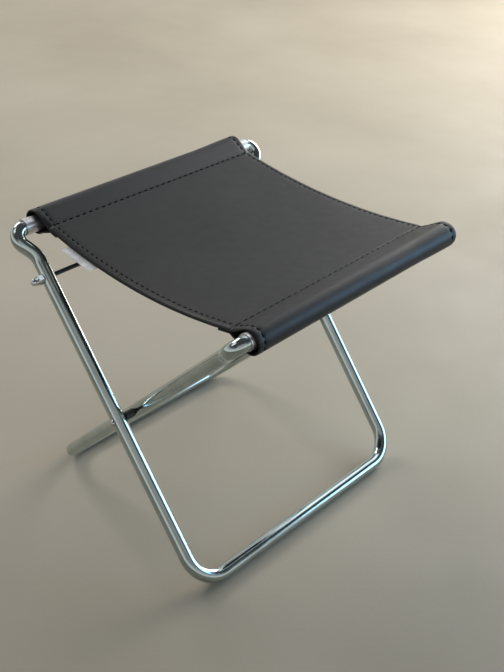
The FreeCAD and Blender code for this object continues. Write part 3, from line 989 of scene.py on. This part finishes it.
@dataclass
class Metalwork:
    """The frames, bars and fittings, which keep their solids and get their finishes."""

    chrome: PlatedFinish = PlatedFinish("chromed tube", (0.43, 0.495, 0.48), (0.55, 0.615, 0.6), (0.11, 0.19))
    zinc: PlatedFinish = PlatedFinish("zinced bar", (0.64, 0.62, 0.62), (0.76, 0.74, 0.74), (0.32, 0.44))
    nickel: PlatedFinish = PlatedFinish("nickelled rivet", (0.5, 0.5, 0.49), (0.62, 0.62, 0.61), (0.14, 0.28))
    nut: PlatedFinish = PlatedFinish("chromed nut", (0.56, 0.6, 0.61), (0.68, 0.72, 0.73), (0.08, 0.16))
    rod: CoatFinish = CoatFinish(
        "black rod coat", (0.012, 0.012, 0.013), (0.03, 0.03, 0.031), (0.3, 0.42), 700.0)
    spacer: CoatFinish = CoatFinish(
        "black spacer", (0.016, 0.016, 0.016), (0.03, 0.03, 0.03), (0.45, 0.6), 1400.0)

    def dress(self, nodes: dict[str, bpy.types.Object]) -> None:
        """Give each metal node its finish.

        Args:
            nodes: The frame's nodes by name.
        """
        both = ("left", "right")
        plan: list[tuple[PlatedFinish | CoatFinish, list[str]]] = [
            (self.chrome, ["outer_frame", "inner_frame"]),
            (self.zinc, ["rear_seat_bar", "front_seat_bar"]),
            (self.nickel, [f"{side}_{part}" for side in both for part in ("pivot_rivet", "rivet_washer")]),
            (self.nut, [f"{side}_cap_nut" for side in both]),
            (self.rod, ["tie_rod"]),
            (self.spacer, [f"{side}_pivot_spacer" for side in both]),
        ]
        for finish, names in plan:
            material = finish.make()
            for name in names:
                nodes[name].data.materials.clear()
                nodes[name].data.materials.append(material)
                LOG.info("%s: %s", name, finish.name)


@dataclass(frozen=True)
class Softbox:
    """A soft studio lamp that faces the stool."""

    name: str
    at: Colour
    aim: Colour
    size: Range
    power: float
    colour: Colour = (1.0, 1.0, 1.0)
    spread: float = math.pi

    def hang(self) -> None:
        """Add the lamp to the scene."""
        lamp = bpy.data.lights.new(self.name, "AREA")
        lamp.shape, lamp.energy, lamp.color = "RECTANGLE", self.power, self.colour
        lamp.size, lamp.size_y = self.size
        lamp.spread = self.spread
        stand = bpy.data.objects.new(self.name, lamp)
        stand.location = self.at
        stand.rotation_euler = (Vector(self.aim) - Vector(self.at)).to_track_quat("-Z", "Y").to_euler()
        bpy.context.scene.collection.objects.link(stand)


@dataclass
class Studio:
    """The floor, the lamps, the surrounding light and the camera."""

    floor: FloorFinish = FloorFinish("pale floor", (0.362, 0.322, 0.252), (0.42, 0.38, 0.304))
    softboxes: tuple[Softbox, ...] = (
        Softbox("window softbox", (3.0, 0.3, 1.2), (0.3, 0.3, 0.0), (2.0, 1.4), 76.0, (1.0, 0.97, 0.92)),
        Softbox("back softbox", (0.3, 3.5, 3.0), (0.4, 2.3, 0.0), (2.0, 1.2), 76.0, (1.0, 0.98, 0.95)),
        Softbox("side softbox", (2.3, -1.6, 0.8), (0.0, -0.1, 0.3), (1.8, 1.3), 7.0, (0.33, 0.65, 1.0),
                math.radians(70)),
        Softbox("seat softbox", (1.8, 1.1, 2.3), (0.0, 0.1, 0.4), (2.1, 2.1), 10.5),
        Softbox("hem softbox", (1.5, 0.1, 2.2), (0.0, 0.1, 0.4), (1.2, 1.2), 6.0, (0.8, 0.92, 1.0)),
        Softbox("top softbox", (-1.5, 1.4, 2.6), (-0.2, 0.3, 0.2), (1.2, 1.2), 6.0),
        Softbox("front softbox", (-1.0, -1.9, 1.7), (0.0, 0.0, 0.2), (2.8, 1.1), 3.0),
    )
    floor_radius: float = 4.2
    floor_sides: int = 128
    walls: Colour = (0.78, 0.8, 0.8)
    ceiling: Colour = (0.07, 0.072, 0.074)
    wall_fade: Range = (0.16, 0.5)
    eye: Colour = (-0.92784, -0.83213, 1.08511)
    yaw: float = math.radians(49.553)
    pitch: float = math.radians(34.030)
    roll: float = math.radians(4.801)
    lens: float = 55.94
    nearest: float = 0.05

    def build(self) -> None:
        """Set up the whole studio."""
        self.lay_floor()
        for softbox in self.softboxes:
            softbox.hang()
        self.light_world()
        self.aim_camera()
        bpy.context.scene.view_settings.view_transform = "Standard"

    def lay_floor(self) -> None:
        """Lay the floor under the stool."""
        bm = bmesh.new()
        bmesh.ops.create_circle(bm, cap_ends=True, segments=self.floor_sides, radius=self.floor_radius)
        make_piece("studio_floor", bm, self.floor.make())

    def light_world(self) -> None:
        """Surround the stool with pale walls under a dim ceiling."""
        world = bpy.data.worlds.new("studio")
        world.use_nodes = True
        bpy.context.scene.world = world
        nodes, links = world.node_tree.nodes, world.node_tree.links
        nodes.clear()
        split = nodes.new("ShaderNodeSeparateXYZ")
        links.new(nodes.new("ShaderNodeTexCoord").outputs["Generated"], split.inputs["Vector"])
        ramp = nodes.new("ShaderNodeValToRGB")
        links.new(split.outputs["Z"], ramp.inputs["Fac"])
        set_ramp(ramp, self.wall_fade, (self.walls, self.ceiling))
        light = nodes.new("ShaderNodeBackground")
        links.new(ramp.outputs["Color"], light.inputs["Color"])
        links.new(light.outputs["Background"], nodes.new("ShaderNodeOutputWorld").inputs["Surface"])

    def aim_camera(self) -> None:
        """Put the camera where the photograph was taken from."""
        camera = bpy.data.objects.new("camera", bpy.data.cameras.new("camera"))
        camera.data.lens = self.lens
        camera.data.clip_start = self.nearest
        turn = (Matrix.Rotation(-self.yaw, 4, "Z") @ Matrix.Rotation(math.pi / 2 - self.pitch, 4, "X")
                @ Matrix.Rotation(self.roll, 4, "Z"))
        camera.matrix_world = Matrix.Translation(self.eye) @ turn
        bpy.context.scene.collection.objects.link(camera)
        bpy.context.scene.camera = camera


def main() -> None:
    """Build the stool and its studio."""
    logging.basicConfig(level=logging.INFO, format="%(message)s")
    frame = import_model()
    Metalwork().dress(frame["nodes"])
    grain = LeatherFinish(
        "black leather", (0.0095, 0.0096, 0.01), (0.0145, 0.0146, 0.0152), (0.4, 0.5)).make()
    flesh = FleshFinish("leather flesh side", (0.012, 0.012, 0.012), (0.03, 0.029, 0.028)).make()
    thread = ThreadFinish("black thread", (0.0015, 0.0015, 0.0018), (0.004, 0.004, 0.0045)).make()
    rear, front = SlingHalf(Half.REAR, lap=0.0135), SlingHalf(Half.FRONT)
    leather = rear.dress(grain, flesh, thread)
    front.dress(grain, flesh, thread)
    SewnTag().dress(rear, leather, TagFinish("white ribbon", (0.87, 0.875, 0.9), (0.93, 0.935, 0.95)).make())
    Studio().build()
    bpy.context.view_layer.update()


if __name__ == "__main__":
    main()
